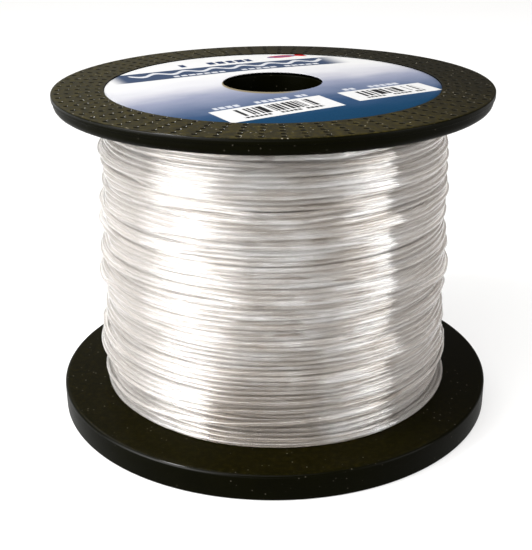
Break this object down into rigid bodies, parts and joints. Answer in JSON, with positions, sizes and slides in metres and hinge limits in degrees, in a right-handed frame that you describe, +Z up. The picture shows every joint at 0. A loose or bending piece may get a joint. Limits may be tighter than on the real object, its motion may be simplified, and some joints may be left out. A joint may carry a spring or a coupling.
{
  "type": "fishing line spool",
  "caption": "Bulk spool of clear nylon fishing line: two black moulded flanges on a drum and axle tube, with a round label on the upper flange.",
  "frame": {"origin": "centre of the base, on the surface that the lower flange stands on", "axes": "+Z up along the bore axis, -Y towards the side that is seen first, +X to its right"},
  "size_m": [0.0924, 0.0924, 0.068],
  "materials": {
    "black_plastic": "satin moulded plastic with fine dust",
    "clear_nylon": "clear glossy monofilament, whitish where many turns lie together",
    "label_print": null,
    "tape_film": "thin translucent adhesive tape"
  },
  "bodies": {
    "root": {"lower_flange": "black_plastic", "upper_flange": "black_plastic", "core_drum": "black_plastic", "axle_tube": "black_plastic", "line_start": "clear_nylon", "line_winding": "clear_nylon", "line_tail": "clear_nylon", "tail_tape": "tape_film", "top_label": "label_print"}
  },
  "joints": []
}
